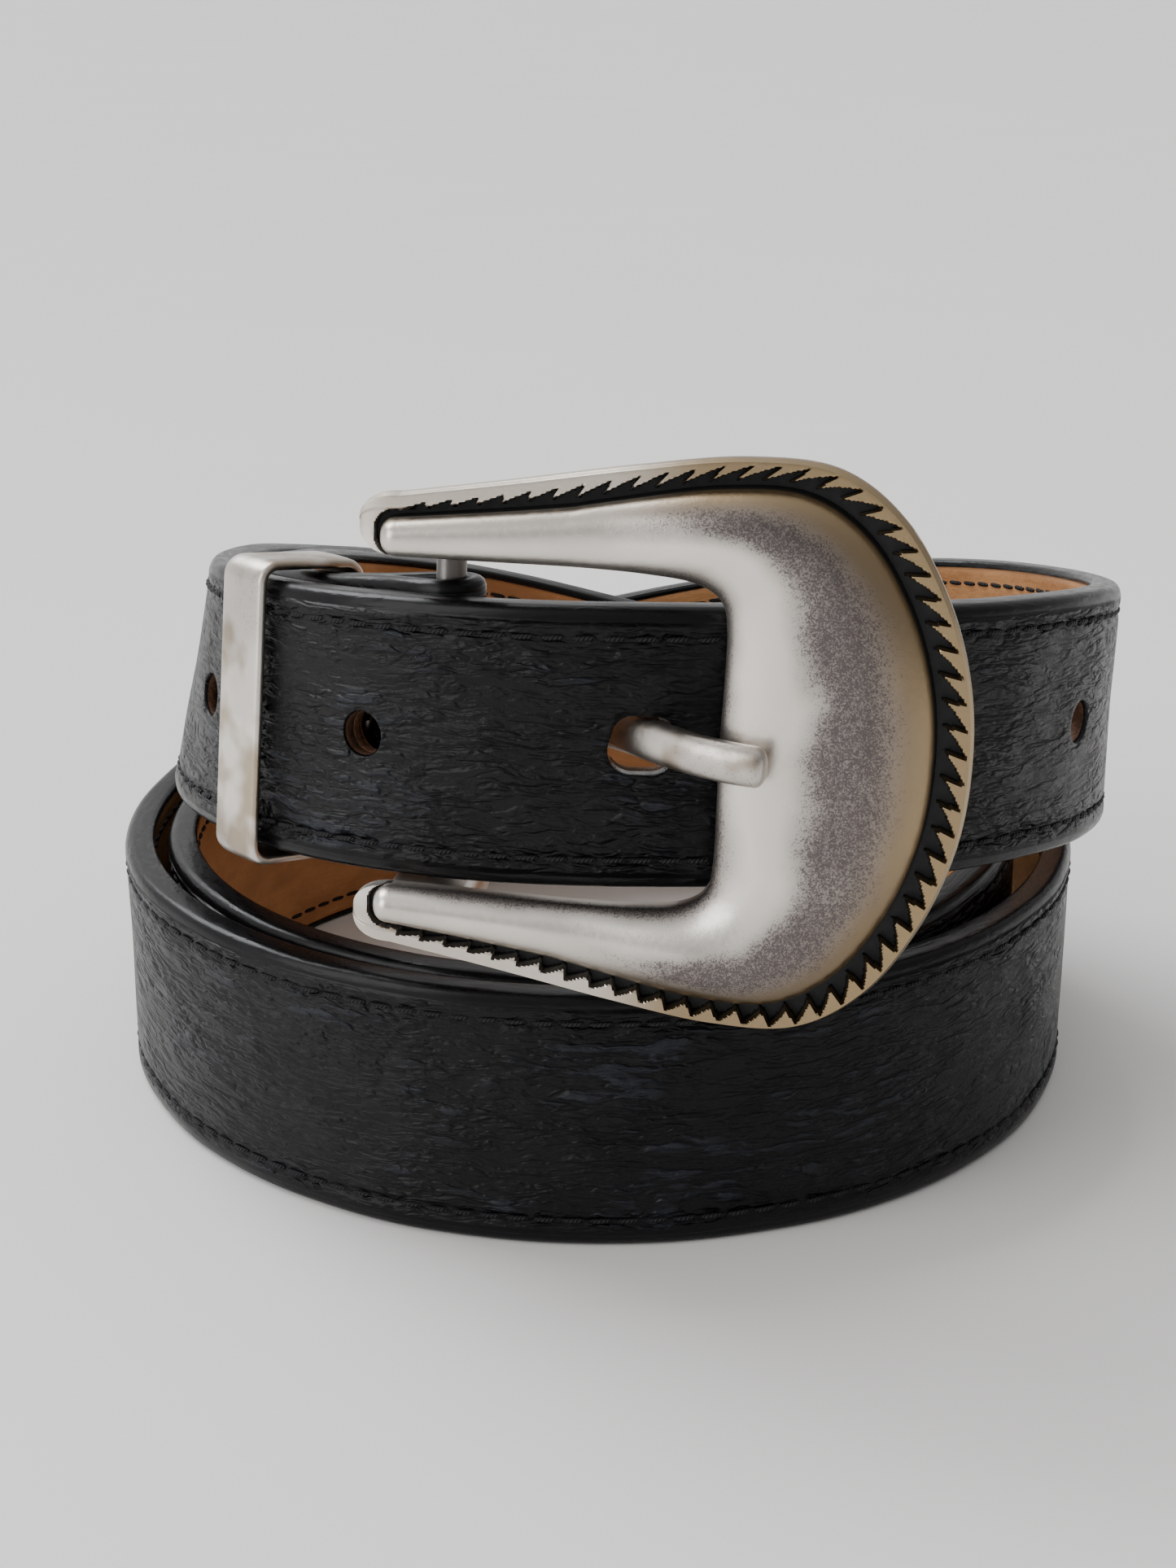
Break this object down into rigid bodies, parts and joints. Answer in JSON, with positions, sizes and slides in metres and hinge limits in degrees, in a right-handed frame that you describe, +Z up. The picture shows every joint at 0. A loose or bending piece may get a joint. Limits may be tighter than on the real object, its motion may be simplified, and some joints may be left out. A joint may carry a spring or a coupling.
{
  "type": "leather belt",
  "caption": "Black leather dress belt with a domed horseshoe buckle, prong and keeper, fastened and coiled on its edge.",
  "frame": {"origin": "middle of the coiled belt's bounding box, on the surface that its edge rests on", "axes": "+Z up, along the axis that the belt is coiled about; -Y towards the buckle's face; +X to the right seen from the buckle's side"},
  "size_m": [0.127, 0.1342, 0.0877],
  "materials": {
    "black_leather": "black pebbled grain, smooth painted edges, satin",
    "tan_leather": "tan lining leather, smooth, satin",
    "black_thread": "waxed black thread, satin",
    "antique_silver": "antique silver plate, satin, dark in the recesses",
    "plain_steel": "plain steel, satin"
  },
  "bodies": {
    "strap": {"strap_outer": "black_leather", "strap_lining": "tan_leather", "thread_upper_row": "black_thread", "thread_lower_row": "black_thread", "screw_post_1": "plain_steel", "screw_1": "plain_steel", "screw_post_2": "plain_steel", "screw_2": "plain_steel"},
    "buckle": {"buckle_frame": "antique_silver", "hinge_bar": "plain_steel"},
    "prong": {"prong": "antique_silver"},
    "keeper": {"keeper": "antique_silver"}
  },
  "joints": [
    {"name": "buckle_swing", "type": "hinge", "parent": "strap", "child": "buckle", "pos_m": [-0.01824, -0.04593, 0.05783], "axis": [-0.0449, -0.0423, -0.9981], "range_deg": [0, 4]},
    {"name": "prong_lift", "type": "hinge", "parent": "buckle", "child": "prong", "pos_m": [-0.01824, -0.04593, 0.05783], "axis": [-0.0449, -0.0423, -0.9981], "range_deg": [0, 1]},
    {"name": "keeper_slide", "type": "slide", "parent": "strap", "child": "keeper", "axis": [-0.6515, 0.7533, -0.0899], "range_m": [-0.0015, 0.0015]}
  ]
}
